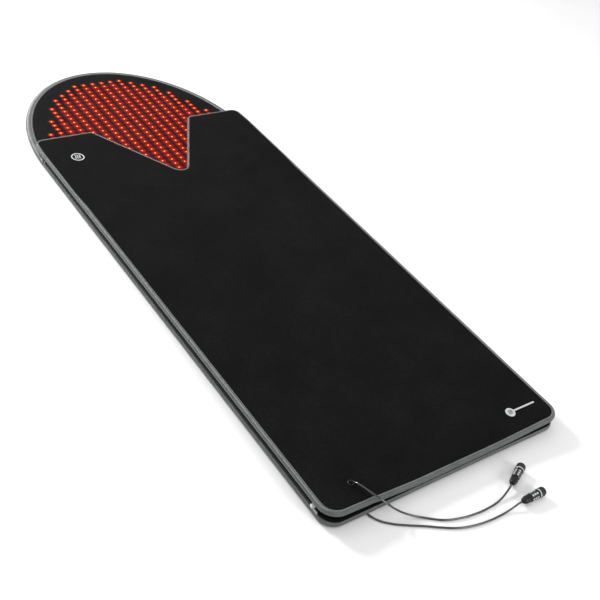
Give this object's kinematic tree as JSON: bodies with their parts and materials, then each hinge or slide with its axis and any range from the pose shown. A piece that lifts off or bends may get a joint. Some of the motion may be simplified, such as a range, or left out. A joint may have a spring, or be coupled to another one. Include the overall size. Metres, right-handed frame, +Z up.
{
  "type": "infrared sauna blanket",
  "caption": "Padded infrared sauna blanket: a heated base mat with a rounded head end and a zip-on heated cover with a V-shaped neck, each with its own plug lead.",
  "frame": {"origin": "on the floor under the middle of the mat, at the bottom centre of the blanket's bounding box without its leads and plugs", "axes": "+Z up, +Y along the mat towards the rounded head end, +X to the right seen from the foot end"},
  "size_m": [0.763, 2.206, 0.0739],
  "materials": {
    "skin": "matt black coated cloth",
    "foam": "open-cell foam",
    "board": "flexible circuit sheet with lamps",
    "lining": "smooth coated cloth",
    "binding": "ribbed grey edging tape",
    "tape": "woven zip tape",
    "coil": "nylon zip teeth",
    "metal": "dark plated zip hardware",
    "slider": "white enamelled zip slider",
    "plastic": "moulded nylon",
    "rubber": "moulded soft plastic",
    "cable": "glossy PVC cable jacket",
    "insert": "pale contact insert",
    "badge": "printed light grey mark"
  },
  "bodies": {
    "base": {"base_outer_skin": "skin", "base_foam_core": "foam", "base_led_board_legs": "board", "base_led_board_seat": "board", "base_led_board_back": "board", "base_led_board_head": "board", "base_inner_lining": "lining", "base_edge_binding": "binding", "base_junction_block": "plastic", "base_bus_cable": "cable", "base_lead_gland": "rubber", "base_lead": "cable", "base_plug_boot": "rubber", "base_plug_shell": "plastic", "base_plug_insert": "insert", "zip_left_base_tape": "tape", "zip_left_base_coil": "coil", "zip_left_box": "plastic", "zip_left_base_stop": "metal", "zip_right_base_tape": "tape", "zip_right_base_coil": "coil", "zip_right_box": "plastic", "zip_right_base_stop": "metal"},
    "cover": {"cover_outer_skin": "skin", "cover_foam_core": "foam", "cover_led_board_legs": "board", "cover_led_board_waist": "board", "cover_led_board_chest": "board", "cover_inner_lining": "lining", "cover_edge_binding": "binding", "cover_junction_block": "plastic", "cover_bus_cable": "cable", "cover_lead_eyelet": "rubber", "cover_lead": "cable", "cover_plug_boot": "rubber", "cover_plug_shell": "plastic", "cover_plug_insert": "insert", "cover_shoulder_badge": "badge", "cover_foot_badge": "badge", "zip_left_cover_tape": "tape", "zip_left_cover_coil": "coil", "zip_left_cover_pin": "metal", "zip_left_cover_stop": "metal", "zip_right_cover_tape": "tape", "zip_right_cover_coil": "coil", "zip_right_cover_pin": "metal", "zip_right_cover_stop": "metal"},
    "base_ring": {"base_plug_ring": "plastic"},
    "cover_ring": {"cover_plug_ring": "plastic"},
    "left_slider": {"zip_left_slider": "slider"},
    "left_puller": {"zip_left_puller": "metal"},
    "right_slider": {"zip_right_slider": "slider"},
    "right_puller": {"zip_right_puller": "metal"}
  },
  "joints": [
    {"name": "cover_open", "type": "hinge", "parent": "base", "child": "cover", "pos_m": [0.381, 0, 0.025], "axis": [0, 1, 0], "range_deg": [0, 178]},
    {"name": "left_zip_slide", "type": "slide", "parent": "base", "child": "left_slider", "axis": [0, 1, 0], "range_m": [0, 1.475]},
    {"name": "left_puller_swing", "type": "hinge", "parent": "left_slider", "child": "left_puller", "pos_m": [-0.3811, -0.9615, 0.025], "axis": [0, 0, -1], "range_deg": [0, 170]},
    {"name": "right_zip_slide", "type": "slide", "parent": "base", "child": "right_slider", "axis": [0, -1, 0], "range_m": [0, 1.475]},
    {"name": "right_puller_swing", "type": "hinge", "parent": "right_slider", "child": "right_puller", "pos_m": [0.3749, 0.5135, 0.025], "axis": [0, 0, -1], "range_deg": [0, 170]},
    {"name": "base_plug_turn", "type": "hinge", "parent": "base", "child": "base_ring", "pos_m": [0.1, -1.169, 0.0123], "axis": [1, 0, 0], "continuous": true},
    {"name": "cover_plug_turn", "type": "hinge", "parent": "cover", "child": "cover_ring", "pos_m": [0.114, -1.1175, 0.0123], "axis": [0.9026, 0.4305, 0], "continuous": true}
  ]
}
